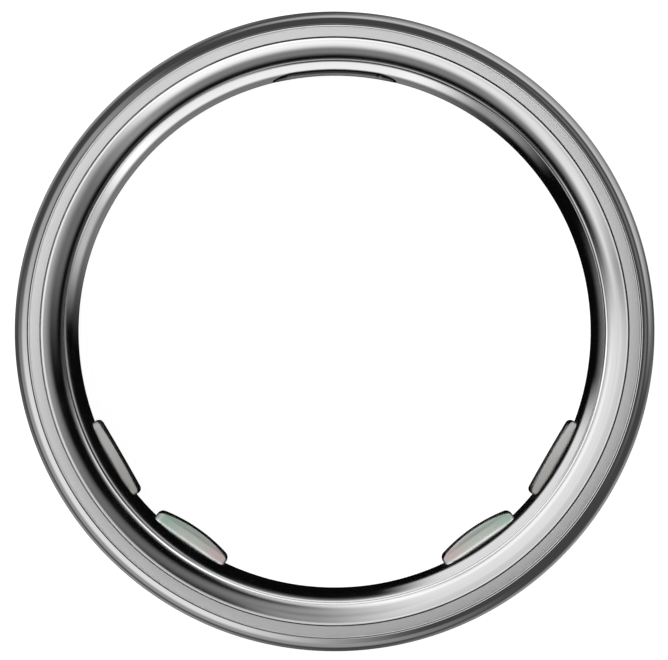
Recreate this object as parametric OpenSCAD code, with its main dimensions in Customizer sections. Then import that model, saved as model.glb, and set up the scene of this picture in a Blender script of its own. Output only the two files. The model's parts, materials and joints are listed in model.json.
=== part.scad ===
// Smart ring: a sealed metal band with optical sensors in its bore.
// The ring lies on its rear face. Z is its axis, +Y is the top of the band and -Y the sensor side.
// The origin is on the axis, in the plane of the rear face.
// A place on the band is a turn in degrees, clockwise from the top as seen from the front.

/* [Band] */
// Finger bore, measured at its crest
bore_d = 19.8; // [18:0.1:22]
// Width of the band along its axis
band_w = 7; // [6.8:0.1:8.5]
// Wall of the outer shell, and the radius of its rounded edges
shell_wall = 0.5; // [0.4:0.05:0.8]
// Radial width of the satin side rings
side_ring_w = 0.485; // [0.44:0.005:0.7]
// Thickness of the side rings along the axis
side_ring_t = 0.5; // [0.3:0.05:0.6]
// Radial width of the polished bevel inside the side rings
bevel_w = 0.83; // [0.78:0.01:1]
// Height of the bevel's inner edge over the crest of the bore
crease_rise = 0.62; // [0.55:0.01:0.7]
// Radius of the rounded mouth between the bevel and the bore
mouth_r = 1.5; // [1:0.05:2]
// Width of the fine chamfers that draw the seams
seam_chamfer = 0.03; // [0.02:0.005:0.05]
// Thickness of the adhesive bead behind each side ring
bead_t = 0.12; // [0.08:0.01:0.2]

/* [Liner] */
// Wall of the liner at the crest of the bore
liner_wall = 0.45; // [0.4:0.01:0.5]
// Thickness of the liner's two flanges
flange_t = 0.75; // [0.65:0.05:0.8]
// Depth of the trough for the inward parts, below the seat of the circuit
trough_depth = 0.27; // [0.22:0.01:0.3]
// Width of the ledge on each side of that trough, which carries the circuit's edges
seat_ledge = 0.46; // [0.4:0.01:0.7]

/* [Windows] */
// Width of a lens across the band
lens_w = 3.24; // [3:0.02:3.4]
// Corner radius of a lens outline
lens_corner = 0.3; // [0.2:0.05:0.5]
// Radius of the rounded edge round the top of a lens
lens_round = 0.2; // [0.15:0.05:0.4]
// Height of the upper, flat lenses over the crest of the bore
flat_lens_h = 0.42; // [0.3:0.02:0.5]
// Height of the lower, domed lenses over the crest of the bore
domed_lens_h = 0.64; // [0.5:0.02:0.7]
// Crown radius of the flat lenses across the band
flat_crown_r = 80; // [40:5:120]
// Crown radius of the flat lenses along the axis
axial_crown_r = 20; // [12:1:40]
// Radius of the dome on the lower lenses
domed_crown_r = 6.4; // [5:0.1:12]
// Distance along the bore from its lowest point to the middle of a lower lens
lower_lens_offset = 6; // [5.6:0.05:6.4]
// Metal between a lower lens and an upper one, along the bore
lens_gap = 1.13; // [0.95:0.01:1.5]
// Width of the charging window across the band
charge_window_w = 4.54; // [4:0.02:5]
// Corner radius of the charging window
charge_window_corner = 0.7; // [0.4:0.05:1]
// Width of the black seal round each window
seal_t = 0.12; // [0.08:0.01:0.15]
// Width of the rims that hold each window from behind
rim_w = 0.2; // [0.12:0.02:0.24]
// Thickness of those rims
rim_t = 0.14; // [0.1:0.01:0.18]
// Wall of a window round its pocket
pocket_wall = 0.4; // [0.3:0.02:0.5]
// Height of the pocket's ceiling over the crest of the bore
pocket_rise = 0.08; // [0.05:0.01:0.1]

/* [Sensors] */
// Size of a green light across the band, along the axis and in height
green_led = [0.9, 1.5, 0.5]; // [0.4:0.05:1.6]
// Size of a red light across the band, along the axis and in height
red_led = [0.5, 0.8, 0.45]; // [0.4:0.05:0.9]
// Size of an infrared light across the band, along the axis and in height
infrared_led = [0.5, 0.8, 0.4]; // [0.4:0.05:0.9]
// Width of the black frame round a light receiver
receiver_frame = 0.5; // [0.3:0.05:0.7]
// Height of a light receiver
receiver_h = 0.45; // [0.3:0.05:0.5]
// Size of a temperature sensor across the band, along the axis and in height
temperature_chip = [0.8, 1.6, 0.18]; // [0.15:0.01:1.8]

/* [Electronics] */
// Room between each edge of the circuit strip and the liner's flange
strip_side_room = 0.25; // [0.15:0.05:0.4]
// Thickness of the circuit strip
strip_t = 0.12; // [0.08:0.01:0.14]
// Width of the processor across the band
processor_w = 2.4; // [1.6:0.1:2.6]
// Height of the processor
processor_h = 0.5; // [0.3:0.05:0.7]
// Size of the memory chip across the band, along the axis and in height
memory = [1.5, 2, 0.45]; // [0.4:0.05:2.4]
// Size of the power manager across the band, along the axis and in height
power_chip = [2, 2.2, 0.5]; // [0.4:0.05:2.6]
// Size of the charger chip across the band, along the axis and in height
charger = [1.6, 1.6, 0.4]; // [0.3:0.05:2]
// Size of the chip that drives the lights, across the band, along the axis and in height
optical_chip = [2.4, 2.6, 0.5]; // [0.4:0.05:3]
// Size of the motion sensor across the band, along the axis and in height
motion_chip = [2, 2, 0.6]; // [0.4:0.05:2.4]
// Size of the crystal across the band, along the axis and in height
crystal = [1.2, 1.6, 0.35]; // [0.3:0.05:2]
// Size of the antenna across the band, along the axis and in height
antenna = [1.2, 3.2, 0.5]; // [0.4:0.05:3.6]
// Size of one inductor across the band, along the axis and in height
inductor = [1, 1.1, 0.55]; // [0.4:0.05:1.2]
// Size of one capacitor across the band, along the axis and in height
capacitor = [1, 0.5, 0.5]; // [0.3:0.05:1.2]
// Room between the capacitors and the strip's edges, and between parts side by side
part_room = 0.15; // [0.1:0.01:0.2]

/* [Battery] */
// Room between each side of the cell and the liner's flange
cell_side_room = 0.15; // [0.1:0.01:0.35]
// Turn at which the cell starts, past the lowest point, in degrees
cell_start_angle = 205; // [200:1:215]
// Turn at which the cell ends, short of the top, in degrees
cell_end_angle = 335; // [325:1:336]
// Width of the bevels on the cell's long edges
cell_corner = 0.25; // [0.15:0.05:0.3]
// Room between the cell and the shell, for the insulation
cell_room = 0.09; // [0.08:0.01:0.12]
// Thickness of the insulation
film_t = 0.04; // [0.03:0.005:0.05]
// Width of each battery tab
tab_w = 0.8; // [0.5:0.1:1.2]
// Thickness of each battery tab
tab_t = 0.05; // [0.03:0.01:0.08]
// Size of the battery's protection board across the band, along the axis and in height
cell_board = [1.8, 3.6, 0.25]; // [0.2:0.05:3.8]

/* [Charging] */
// Width of the coil's winding
winding_w = 0.9; // [0.6:0.05:1.1]
// Thickness of the coil
coil_t = 0.22; // [0.16:0.01:0.24]
// Thickness of the ferrite sheet
ferrite_t = 0.08; // [0.05:0.01:0.1]

/* [Hidden] */

$fn = 180;
// One overrun for every cut, so that no cut ends in a face
cut = 0.5;
// Bond line between glued parts
bond = 0.015;
// Running clearance round parts that only lie side by side
gap = 0.02;
// Degrees in one radian
radian = 180 / PI;

// Radii of the band, from the bore outwards
crest_r = bore_d / 2;
crease_r = crest_r + crease_rise;
rim_r = crease_r + bevel_w;
shell_bore_r = rim_r + side_ring_w;
outer_r = shell_bore_r + shell_wall;
mid = band_w / 2;

// Slopes of the polished surface, in degrees from the plane of the side face
flare_slope = 67;
mouth_slope = 54;
bevel_in_slope = 30;
bevel_out_slope = 3;

// The bore flares from its crest in one long arc, turns round the mouth and ends at the crease
flare_r = (crease_rise - mouth_r * (sin(flare_slope) - sin(mouth_slope))) / (1 - sin(flare_slope));
bevel_r = bevel_w / (sin(bevel_in_slope) - sin(bevel_out_slope));
flare_l = flare_r * cos(flare_slope);
mouth_l = mouth_r * (cos(mouth_slope) - cos(flare_slope));
bevel_l = bevel_r * (cos(bevel_out_slope) - cos(bevel_in_slope));
crest_half = mid - flare_l - mouth_l - bevel_l;

// Radius inside the bore from which the window holes are cut outwards
inside_r = crest_r - 2 * cut;

// Radii and half widths of the channel between liner and shell
trough_r = crest_r + liner_wall;
seat_r = trough_r + trough_depth;
channel_half = mid - flange_t;
trough_half = channel_half - seat_ledge;
bead_half = mid - side_ring_t - bead_t;

// Every window fills the trough along the axis, with room for its seal
window_l = 2 * (trough_half - seal_t - gap);

// Turns of the lenses on the right, which the left side mirrors
upper_lens_offset = lower_lens_offset + lens_w + lens_gap;
lower_turn = 180 - lower_lens_offset / crest_r * radian;
upper_turn = 180 - upper_lens_offset / crest_r * radian;

// The circuit strip is bent into flats, one under each part that it carries
strip_w = 2 * (channel_half - strip_side_room);
strip_r = seat_r + bond;
strip_top = strip_r + strip_t;
right_flats = 9;
lens_flats = 2;
bottom_flats = 6;
pitch = upper_turn / right_flats;
flats = concat(
    [-pitch],
    spaced(0, upper_turn, right_flats),
    spaced(upper_turn, lower_turn, lens_flats),
    spaced(lower_turn, 360 - lower_turn, bottom_flats),
    spaced(360 - lower_turn, 360 - upper_turn, lens_flats),
    [360 - upper_turn]
);
widest_bend = max([for (i = [1:len(flats) - 1]) flats[i] - flats[i - 1]]);
strip_end = strip_r * tan(pitch / 2);
strip_peak_r = strip_top / cos(widest_bend / 2);
optical_turn = (upper_turn + lower_turn) / 2;

// Capacitors stand along both edges of the strip, and the processor fills the room between them
capacitor_z = (strip_w - capacitor.y) / 2 - part_room;
processor = [processor_w, 2 * (capacitor_z - part_room) - capacitor.y, processor_h];

// Rims and pockets behind the windows
pocket_r = crest_r + pocket_rise;
pocket_w = lens_w - 2 * pocket_wall;
pocket_l = window_l - 2 * pocket_wall;
shield_r = pocket_r + gap;
photodiode = [pocket_w - 2 * receiver_frame, pocket_l - 2 * receiver_frame, receiver_h];

// Battery: it reaches out from the strip nearly to the shell
cell_w = 2 * (channel_half - cell_side_room);
cell_in_r = strip_peak_r + 2 * gap;
cell_out_r = shell_bore_r - cell_room;
cell_end = 0.25;
tab_r = norm([cell_board.x / 2, strip_top + cell_board.z]) + gap;
tab_z = 1.2;
tab_turn = flats[0] + 360 - cell_end_angle;

// A list of n turns from a up to, but without, b
function spaced(a, b, n) = [for (i = [0:n - 1]) a + (b - a) * i / n];

// The point that lies x across and y out from the axis, at a turn round the band
function spot(turn, x, y) = [x * cos(turn) + y * sin(turn), y * cos(turn) - x * sin(turn)];

// The direction in which a surface of the front bore edge faces, in radius and height
function facing(slope) = [-sin(slope), cos(slope)];

// The point where the tangents at both ends of an arc meet
function tangent_meet(centre, r, a, b) = centre + r / cos((a - b) / 2) * facing((a + b) / 2);

// One edge of the bent strip, at a distance out from the axis
function strip_edge(out, end) = concat(
    [spot(flats[0], -end, out)],
    [for (i = [1:len(flats) - 1])
        spot((flats[i] + flats[i - 1]) / 2, 0, out / cos((flats[i] - flats[i - 1]) / 2))],
    [spot(flats[len(flats) - 1], end, out)]
);

// The list read from its end
function reversed(list) = [for (i = [len(list) - 1:-1:0]) list[i]];

// Places children at a turn round the band, with +Y outwards
module at_turn(turn) {
    rotate([0, 0, -turn]) children();
}

// Raises a flat outline, across by along the axis, from one radius out to another
module outwards(from_r, to_r) {
    translate([0, from_r, mid])
        rotate([-90, 0, 0])
            linear_extrude(to_r - from_r)
                mirror([0, 1])
                    children();
}

// A rectangle about the centre with round corners
module rounded(w, l, r) {
    difference() {
        square([w, l], center = true);
        for (x = [0, 1], y = [0, 1])
            mirror([x, 0]) mirror([0, y])
                translate([w / 2 - r, l / 2 - r])
                    round_waste(r);
    }
}

// What a square corner loses where it is rounded
module round_waste(r) {
    difference() {
        square(r + cut);
        circle(r);
    }
}

// A ring section between two radii and two heights, revolved all the way
module hoop(in_r, out_r, low, high) {
    rotate_extrude() translate([in_r, low]) square([out_r - in_r, high - low]);
}

// Revolves a section from one turn clockwise to another
module sector(from_turn, to_turn) {
    rotate([0, 0, 90 - to_turn]) rotate_extrude(angle = to_turn - from_turn) children();
}

// Mirrors a piece of the front half to the rear half
module to_rear() {
    translate([0, 0, band_w]) mirror([0, 0, 1]) children();
}

// Mirrors a piece from the right side to the left
module to_left() {
    mirror([1, 0, 0]) children();
}

// What a corner loses where an arc rounds it, between the arc's two ends
module corner_waste(centre, r, a, b) {
    outside = tangent_meet(centre, r, a, b) + cut * facing((a + b) / 2);
    difference() {
        polygon([centre + r * facing(a), outside, centre + r * facing(b)]);
        translate(centre) circle(r);
    }
}

// Centres of the three arcs in which the front half of the bore turns to the side face
flare_c = [crest_r + flare_r, crest_half];
mouth_c = flare_c + (flare_r - mouth_r) * facing(flare_slope);
crease = mouth_c + mouth_r * facing(mouth_slope);
bevel_c = crease - bevel_r * facing(bevel_in_slope);

// Straight outline round those arcs, from the crest of the bore to the rim
front_outline = [
    tangent_meet(flare_c, flare_r, 90, flare_slope),
    tangent_meet(mouth_c, mouth_r, flare_slope, mouth_slope),
    crease,
    tangent_meet(bevel_c, bevel_r, bevel_in_slope, bevel_out_slope),
    [rim_r - seam_chamfer, mid - seam_chamfer * tan(bevel_out_slope)],
    [rim_r - bond, mid - seam_chamfer],
];

// What the outline loses to the arcs
module arc_wastes() {
    corner_waste(flare_c, flare_r, 90, flare_slope);
    corner_waste(mouth_c, mouth_r, flare_slope, mouth_slope);
    corner_waste(bevel_c, bevel_r, bevel_in_slope, bevel_out_slope);
}

// The liner's turned section, without windows: bore outside, channel for the electronics inside
module liner_section() {
    translate([0, mid]) difference() {
        polygon(concat(front_outline, [for (p = reversed(front_outline)) [p.x, -p.y]]));
        arc_wastes();
        mirror([0, 1]) arc_wastes();
        translate([seat_r, -channel_half]) square([rim_r - seat_r + cut, 2 * channel_half]);
        translate([trough_r, -trough_half]) square([seat_r - trough_r + cut, 2 * trough_half]);
    }
}

// Outline of a lens, or of its hole when it is grown
module lens_outline(grow = 0) {
    rounded(lens_w + 2 * grow, window_l + 2 * grow, lens_corner + grow);
}

// Outline of the charging window, or of its hole when it is grown
module charge_outline(grow = 0) {
    rounded(charge_window_w + 2 * grow, window_l + 2 * grow, charge_window_corner + grow);
}

// Repeats children at the four lenses
module at_lenses() {
    for (turn = [upper_turn, lower_turn]) {
        at_turn(turn) children();
        to_left() at_turn(turn) children();
    }
}

// Polished liner: bore, bevels and flanges in one turned piece, with five windows
module inner_liner() {
    color("silver") difference() {
        rotate_extrude() liner_section();
        at_lenses() outwards(inside_r, seat_r) lens_outline(seal_t);
        outwards(inside_r, seat_r) charge_outline(seal_t);
    }
}

// Polished outer shell: a sleeve with full round edges
module outer_shell() {
    color("gainsboro") rotate_extrude() translate([shell_bore_r, mid]) difference() {
        translate([0, -mid]) square([shell_wall, band_w]);
        for (y = [0, 1])
            mirror([0, y]) translate([0, mid - shell_wall]) round_waste(shell_wall);
        for (y = [0, 1])
            mirror([0, y]) translate([0, mid]) polygon([
                [-cut, -seam_chamfer - cut],
                [seam_chamfer + cut, cut],
                [-cut, cut],
            ]);
    }
}

// Satin side ring that closes the channel at the front
module front_side_ring() {
    color("darkgray") rotate_extrude() {
        in_r = rim_r + bond;
        out_r = shell_bore_r - bond;
        low = band_w - side_ring_t;
        polygon([
            [in_r, low],
            [out_r, low],
            [out_r, band_w - seam_chamfer],
            [out_r - seam_chamfer, band_w],
            [in_r + seam_chamfer, band_w],
            [in_r, band_w - seam_chamfer],
        ]);
    }
}

// Adhesive bead behind the front side ring
module front_sealing_bead() {
    color("dimgray")
        hoop(rim_r + bond, shell_bore_r - bond, mid + bead_half + bond, band_w - side_ring_t - bond);
}

// Section across a lens: a crown with rounded edges over straight sides down to a base
module crown_section(w, top, crown_r, base) {
    seat_x = w / 2 - lens_round;
    seat_y = top + crown_r - sqrt(pow(crown_r - lens_round, 2) - pow(seat_x, 2));
    touch_x = seat_x * crown_r / (crown_r - lens_round);
    intersection() {
        translate([0, top + crown_r]) circle(crown_r);
        translate([-touch_x, top]) square([2 * touch_x, base - top]);
    }
    for (side = [-1, 1])
        translate([side * seat_x, seat_y]) circle(lens_round);
    translate([-w / 2, seat_y]) square([w, base - seat_y]);
}

// Block with a crown across the band, a crown along the axis and rounded edges
module crowned_block(height, across_r, along_r) {
    top = crest_r - height;
    base = seat_r + cut;
    intersection() {
        translate([0, 0, mid - window_l / 2])
            linear_extrude(window_l) crown_section(lens_w, top, across_r, base);
        translate([lens_w / 2, 0, mid])
            rotate([0, -90, 0])
                linear_extrude(lens_w) crown_section(window_l, top, along_r, base);
    }
}

// Clear lens at the top of the band: a body with the form of the children, two rims behind the liner
// and a pocket
module lens(height) {
    difference() {
        union() {
            intersection() {
                outwards(crest_r - height, trough_r + gap) lens_outline();
                children();
            }
            window_rim(lens_w);
        }
        outwards(pocket_r, seat_r + cut) rounded(pocket_w, pocket_l, lens_corner);
    }
}

module upper_right_lens() {
    color("lightgray") at_turn(upper_turn)
        lens(flat_lens_h) crowned_block(flat_lens_h, flat_crown_r, axial_crown_r);
}

module lower_right_lens() {
    color("lightgray") at_turn(lower_turn)
        lens(domed_lens_h) intersection() {
            crowned_block(domed_lens_h + gap, domed_crown_r, domed_crown_r);
            translate([0, crest_r - domed_lens_h + domed_crown_r, mid]) sphere(domed_crown_r);
        }
}

// Curved rims that reach out on both sides behind the liner
module window_rim(w) {
    intersection() {
        outwards(inside_r, seat_r) square([w + 2 * seal_t + 2 * rim_w, window_l], center = true);
        hoop(trough_r + gap / 2, trough_r + rim_t, 0, band_w);
    }
}

// Black seal that fills the gap between a window and the liner, flush with the bore
module window_seal() {
    difference() {
        intersection() {
            rotate_extrude() liner_section();
            outwards(inside_r, seat_r) children(0);
        }
        outwards(inside_r, seat_r) children(1);
    }
}

module lens_seal() {
    color("black") window_seal() {
        lens_outline(seal_t);
        lens_outline();
    }
}

// Flush window at the top of the bore, for charging and radio, with a pocket for the coil
module charging_window() {
    color("dimgray") difference() {
        union() {
            intersection() {
                outwards(inside_r, seat_r) charge_outline();
                hoop(crest_r, trough_r + rim_t, 0, band_w);
            }
            window_rim(charge_window_w);
        }
        difference() {
            outwards(inside_r, seat_r) charge_outline(-pocket_wall / 2);
            translate([0, 0, -cut]) cylinder(r = pocket_r, h = band_w + 2 * cut);
        }
    }
}

module charging_window_seal() {
    color("black") window_seal() {
        charge_outline(seal_t);
        charge_outline();
    }
}

// Block of an inward part: it hangs from the strip towards the bore
module inward_block(size, x = 0, z = 0) {
    outwards(strip_r - size.z, strip_r)
        translate([x, z]) square([size.x, size.y], center = true);
}

// Block of an outward part: it stands on a flat of the strip
module outward_block(size, x = 0, z = 0, grow = 0) {
    outwards(strip_top - (grow > 0 ? strip_t : 0), strip_top + size.z + grow)
        translate([x, z]) square([size.x + 2 * grow, size.y + 2 * grow], center = true);
}

// Places of the lights in a lower lens: green at the upper end, red and infrared side by side below
light_wall = 0.2;
light_span = green_led.x + light_wall + red_led.x;
green_x = (green_led.x - light_span) / 2;
emitter_x = (light_span - red_led.x) / 2;
emitter_z = (max(red_led.y, infrared_led.y) + light_wall) / 2;

// Black frame in a lens pocket, which keeps stray light from the parts in its openings
module light_shield() {
    color("black") difference() {
        intersection() {
            outwards(shield_r, strip_r)
                rounded(pocket_w - 2 * gap, pocket_l - 2 * gap, lens_corner - gap);
            cylinder(r = seat_r, h = band_w);
        }
        children();
    }
}

// Hole through a shield over a part of a given size
module shield_opening(size, x = 0, z = 0) {
    outwards(shield_r - cut, strip_r + cut)
        translate([x, z]) square([size.x + 2 * gap, size.y + 2 * gap], center = true);
}

module upper_right_light_shield() {
    at_turn(upper_turn) light_shield() shield_opening(photodiode);
}

module lower_right_light_shield() {
    at_turn(lower_turn) light_shield() {
        shield_opening(green_led, green_x);
        shield_opening(red_led, emitter_x, emitter_z);
        shield_opening(infrared_led, emitter_x, -emitter_z);
    }
}

module right_green_light() {
    color("limegreen") at_turn(lower_turn) inward_block(green_led, green_x);
}

module right_red_light() {
    color("crimson") at_turn(lower_turn) inward_block(red_led, emitter_x, emitter_z);
}

module right_infrared_light() {
    color("maroon") at_turn(lower_turn) inward_block(infrared_led, emitter_x, -emitter_z);
}

module right_photodiode() {
    color("darkslategray") at_turn(upper_turn) inward_block(photodiode);
}

// Temperature sensors lie one flat to each side of the lowest point
temperature_turn = 180 - (360 - 2 * lower_turn) / bottom_flats;

module right_temperature_sensor() {
    color("whitesmoke") at_turn(temperature_turn) inward_block(temperature_chip);
}

// Soft pad that joins one temperature sensor to the liner
module thermal_pad() {
    difference() {
        outwards(trough_r, strip_r - temperature_chip.z)
            square([temperature_chip.x, temperature_chip.y], center = true);
        translate([0, 0, -cut]) cylinder(r = trough_r + gap / 2, h = band_w + 2 * cut);
    }
}

module thermal_pads() {
    color("skyblue") {
        at_turn(temperature_turn) thermal_pad();
        to_left() at_turn(temperature_turn) thermal_pad();
    }
}

// Bent strip between two distances from the axis
module strip(inner, outer, w, end) {
    translate([0, 0, mid - w / 2])
        linear_extrude(w) polygon(concat(strip_edge(inner, end), reversed(strip_edge(outer, end))));
}

module flexible_circuit() {
    color("goldenrod") strip(strip_r, strip_top, strip_w, strip_end);
}

// Each outward part stands on the flat of its number, counted clockwise from the top
module main_processor(grow = 0) {
    color("black") at_turn(3 * pitch) outward_block(processor, grow = grow);
}

module memory_chip(grow = 0) {
    color("black") at_turn(6 * pitch) outward_block(memory, grow = grow);
}

module power_manager(grow = 0) {
    color("black") at_turn(5 * pitch) outward_block(power_chip, grow = grow);
}

module power_inductors(grow = 0) {
    color("gray") at_turn(4 * pitch)
        for (side = [-1, 1])
            outward_block(inductor, z = side * (inductor.y + part_room) / 2, grow = grow);
}

module charger_chip(grow = 0) {
    color("black") at_turn(7 * pitch) outward_block(charger, grow = grow);
}

module timing_crystal(grow = 0) {
    color("silver") at_turn(2 * pitch) outward_block(crystal, grow = grow);
}

module bluetooth_antenna(grow = 0) {
    color("white") at_turn(pitch) outward_block(antenna, grow = grow);
}

module optical_front_end(grow = 0) {
    color("black") at_turn(optical_turn) outward_block(optical_chip, grow = grow);
}

module motion_sensor(grow = 0) {
    color("black") at_turn(180) outward_block(motion_chip, grow = grow);
}

// Pairs of capacitors stand at both edges of the strip, beside the chips
module capacitors(grow = 0) {
    color("tan") for (i = [2:7], side = [-1, 1])
        at_turn(i * pitch) outward_block(capacitor, z = side * capacitor_z, grow = grow);
}

module battery_protection_board(grow = 0) {
    color("darkgreen") at_turn(flats[0]) outward_block(cell_board, grow = grow);
}

// Section of the battery, in radius and height, with bevelled corners
module cell_section() {
    half = cell_w / 2;
    translate([0, mid]) polygon([
        [cell_in_r, half - cell_corner],
        [cell_in_r + cell_corner, half],
        [cell_out_r - cell_corner, half],
        [cell_out_r, half - cell_corner],
        [cell_out_r, cell_corner - half],
        [cell_out_r - cell_corner, -half],
        [cell_in_r + cell_corner, -half],
        [cell_in_r, cell_corner - half],
    ]);
}

module battery_cell() {
    color("lightsteelblue") sector(cell_start_angle, cell_end_angle) cell_section();
}

// Insulating film between the battery and the shell
module battery_insulation() {
    color("orange") sector(cell_start_angle, cell_end_angle)
        translate([cell_out_r + gap, mid - cell_w / 2]) square([film_t, cell_w]);
}

// Two tabs from the end of the battery onto its board
module battery_tabs(grow = 0) {
    color("silver") for (side = [-1, 1])
        sector(cell_end_angle, cell_end_angle + tab_turn)
            translate([tab_r - grow, mid + side * tab_z - tab_w / 2 - grow])
                square([tab_t + 2 * grow, tab_w + 2 * grow]);
}

// Flat coil that picks up the charger's field, curved behind its window
module charging_coil() {
    in_r = pocket_r + gap;
    color("peru") intersection() {
        outwards(inside_r, seat_r) difference() {
            charge_outline(-pocket_wall / 2 - gap);
            charge_outline(-pocket_wall / 2 - gap - winding_w / 2);
        }
        hoop(in_r, in_r + coil_t, 0, band_w);
    }
}

// Ferrite sheet between the coil and the circuit
module ferrite_sheet() {
    in_r = pocket_r + coil_t + 2 * gap;
    color("darkslategray") intersection() {
        outwards(inside_r, seat_r) charge_outline(-pocket_wall / 2 - gap);
        hoop(in_r, in_r + ferrite_t, 0, band_w);
    }
}

// Resin that fills the channel round the electronics and leaves the battery free
module potting_resin() {
    clear_turn = cell_end / cell_in_r * radian;
    color("darkolivegreen") difference() {
        sector(cell_end_angle - 360 + clear_turn, cell_start_angle - clear_turn) translate([0, mid]) {
            translate([seat_r + gap, gap - channel_half])
                square([shell_bore_r - seat_r - 2 * gap, 2 * (channel_half - gap)]);
            translate([rim_r + gap, gap - bead_half])
                square([side_ring_w - 2 * gap, 2 * (bead_half - gap)]);
        }
        strip(seat_r - cut, strip_top + gap, strip_w + 2 * gap, strip_end + gap);
        main_processor(gap);
        memory_chip(gap);
        power_manager(gap);
        power_inductors(gap);
        charger_chip(gap);
        timing_crystal(gap);
        bluetooth_antenna(gap);
        optical_front_end(gap);
        motion_sensor(gap);
        capacitors(gap);
        battery_protection_board(gap);
        battery_tabs(gap);
    }
}

outer_shell();
front_side_ring();
to_rear() front_side_ring();  // rear_side_ring
inner_liner();
front_sealing_bead();
to_rear() front_sealing_bead();  // rear_sealing_bead
to_left() upper_right_lens();  // upper_left_lens
upper_right_lens();
to_left() lower_right_lens();  // lower_left_lens
lower_right_lens();
to_left() at_turn(upper_turn) lens_seal();  // upper_left_lens_seal
at_turn(upper_turn) lens_seal();  // upper_right_lens_seal
to_left() at_turn(lower_turn) lens_seal();  // lower_left_lens_seal
at_turn(lower_turn) lens_seal();  // lower_right_lens_seal
charging_window();
charging_window_seal();
to_left() upper_right_light_shield();  // upper_left_light_shield
upper_right_light_shield();
to_left() lower_right_light_shield();  // lower_left_light_shield
lower_right_light_shield();
to_left() right_green_light();  // left_green_light
right_green_light();
to_left() right_red_light();  // left_red_light
right_red_light();
to_left() right_infrared_light();  // left_infrared_light
right_infrared_light();
to_left() right_photodiode();  // left_photodiode
right_photodiode();
to_left() right_temperature_sensor();  // left_temperature_sensor
right_temperature_sensor();
thermal_pads();
flexible_circuit();
main_processor();
memory_chip();
optical_front_end();
power_manager();
charger_chip();
motion_sensor();
timing_crystal();
power_inductors();
capacitors();
bluetooth_antenna();
charging_coil();
ferrite_sheet();
battery_cell();
battery_tabs();
battery_protection_board();
battery_insulation();
potting_resin();
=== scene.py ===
# %% [markdown]
# # A smart ring, dressed in Blender
# The ring is a sealed metal band: a polished sleeve outside, a polished liner inside with five windows,
# and two satin side rings that close the gap between them. Seen from the front it is nearly all
# reflections, so this lesson spends its effort on two things: sections that turn smoothly enough to
# mirror a studio, and a studio that is worth mirroring.
# The exact model comes first. It is the fixed frame that everything else is built on.

# %% Load the exact model
import json
import math

import bmesh
import bpy
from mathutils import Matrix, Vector


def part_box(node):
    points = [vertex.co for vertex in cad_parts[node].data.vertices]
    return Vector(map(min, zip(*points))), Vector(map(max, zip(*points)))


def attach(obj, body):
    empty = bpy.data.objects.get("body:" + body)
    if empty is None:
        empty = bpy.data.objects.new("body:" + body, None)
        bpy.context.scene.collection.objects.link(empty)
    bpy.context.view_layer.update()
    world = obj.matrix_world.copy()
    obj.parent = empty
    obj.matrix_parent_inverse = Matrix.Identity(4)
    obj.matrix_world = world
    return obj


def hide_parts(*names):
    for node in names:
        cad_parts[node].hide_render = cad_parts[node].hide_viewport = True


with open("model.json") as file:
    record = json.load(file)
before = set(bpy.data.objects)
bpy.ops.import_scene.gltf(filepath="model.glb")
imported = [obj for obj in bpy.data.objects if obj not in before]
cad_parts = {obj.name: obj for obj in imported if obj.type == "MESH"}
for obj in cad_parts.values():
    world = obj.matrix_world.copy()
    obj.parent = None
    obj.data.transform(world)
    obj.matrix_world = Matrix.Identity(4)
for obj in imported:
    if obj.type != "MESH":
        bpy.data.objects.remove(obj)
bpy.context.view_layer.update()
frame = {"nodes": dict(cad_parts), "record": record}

nodes = frame["nodes"]
slot_of = {part["node"]: part["material_slot"] for part in frame["record"]["subparts"]}
print("nodes:", len(nodes), "slots:", len(set(slot_of.values())))

# %% [markdown]
# ## Sizes
# The radii are measured from the loaded nodes, so that a changed model would still be followed. What
# can't be read off a node, such as the slopes of the polished surface, is repeated from the drawing. A
# few sizes then follow the photograph, where the drawing was a little off.

# %% Measure the band
MM = 0.001
MERGE_DISTANCE = 1e-7


def sin_deg(angle):
    return math.sin(math.radians(angle))


def cos_deg(angle):
    return math.cos(math.radians(angle))


def radii(node):
    spans = [math.hypot(v.co.x, v.co.y) for v in nodes[node].data.vertices]
    return min(spans), max(spans)


BAND_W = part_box("outer_shell")[1].z
MID = BAND_W / 2
CREST_R, LINER_R = radii("inner_liner")
RING_IN_R, RING_OUT_R = radii("front_side_ring")
SHELL_IN_R, SHELL_OUT_R = radii("outer_shell")
RING_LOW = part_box("front_side_ring")[0].z
print("liner", CREST_R, LINER_R, "side ring", RING_IN_R, RING_OUT_R, "shell", SHELL_IN_R, SHELL_OUT_R)

# %% Sizes from the drawing
CREASE_RISE = 0.62 * MM
BEVEL_W = 0.83 * MM
MOUTH_R = 1.5 * MM
FLARE_SLOPE, MOUTH_SLOPE, BEVEL_IN_SLOPE, BEVEL_OUT_SLOPE = 67, 54, 30, 3
SEAM_CHAMFER = 0.03 * MM
SHELL_ROUND = SHELL_OUT_R - SHELL_IN_R
CHANNEL_HALF = MID - 0.75 * MM
SEAT_LEDGE = 0.46 * MM
TROUGH_HALF = CHANNEL_HALF - SEAT_LEDGE
TROUGH_R = CREST_R + 0.45 * MM
SEAT_R = TROUGH_R + 0.27 * MM
SEAL_T = 0.12 * MM
GAP = 0.02 * MM
WINDOW_L = 2 * (TROUGH_HALF - SEAL_T - GAP)
LENS_W = 3.24 * MM
LENS_CORNER = 0.3 * MM
LENS_ROUND = 0.2 * MM
LENS_GAP = 1.13 * MM
LOWER_LENS_OFFSET = 6 * MM
CHARGE_W = 4.54 * MM
CHARGE_CORNER = 0.7 * MM
POCKET_WALL = 0.4 * MM
POCKET_R = CREST_R + 0.08 * MM
RIM_PLATE_W = 0.2 * MM
RIM_PLATE_T = 0.14 * MM
LOWER_TURN = 180 - math.degrees(LOWER_LENS_OFFSET / CREST_R)
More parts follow.
